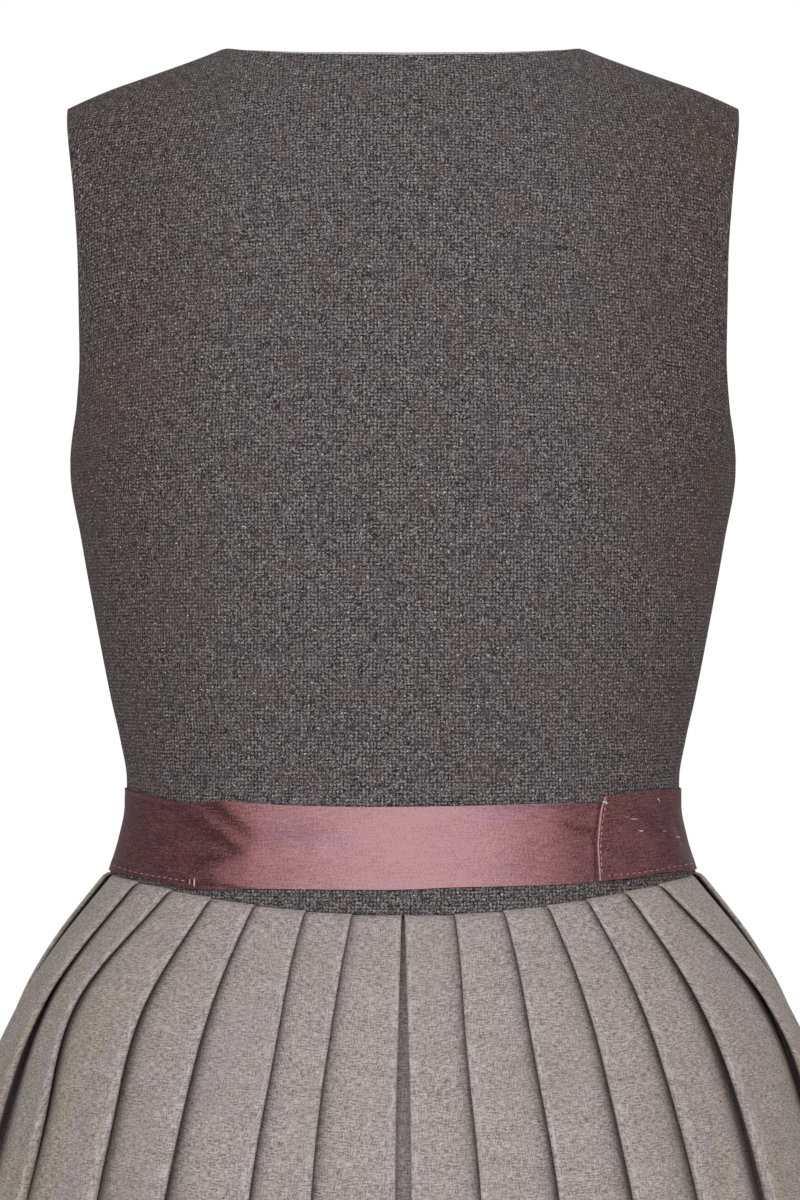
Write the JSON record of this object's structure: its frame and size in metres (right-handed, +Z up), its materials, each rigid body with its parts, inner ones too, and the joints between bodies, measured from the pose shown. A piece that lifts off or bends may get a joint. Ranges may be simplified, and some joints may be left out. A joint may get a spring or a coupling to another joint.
{
  "type": "sleeveless dirndl dress",
  "caption": "Sleeveless wool dirndl with a smooth fitted bodice, a waist belt and a full knife-pleated skirt, in the hollow form it has when worn.",
  "frame": {"origin": "midway between the shoulders, at the height where the straps rest on them", "axes": "+Z up, the front faces -Y, the wearer's left is +X"},
  "size_m": [0.6278, 0.5289, 1.084],
  "materials": {
    "bodice_hopsack_wool": "matt dark grey hopsack weave with white flecks",
    "skirt_flannel_wool": "matt grey-taupe flannel, melange",
    "belt_dark_taffeta": "dark plum slubbed taffeta, slight sheen",
    "belt_ribbon_satin": "dusty pink fabric with a soft sheen",
    "neck_facing_cotton": "matt light grey cotton"
  },
  "bodies": {
    "root": {"bodice_back": "bodice_hopsack_wool", "bodice_front_left": "bodice_hopsack_wool", "bodice_front_right": "bodice_hopsack_wool", "neck_facing_back": "neck_facing_cotton", "belt_band": "belt_dark_taffeta", "belt_ribbon": "belt_ribbon_satin", "skirt_front": "skirt_flannel_wool", "skirt_back_left": "skirt_flannel_wool", "skirt_back_right": "skirt_flannel_wool"}
  },
  "joints": []
}
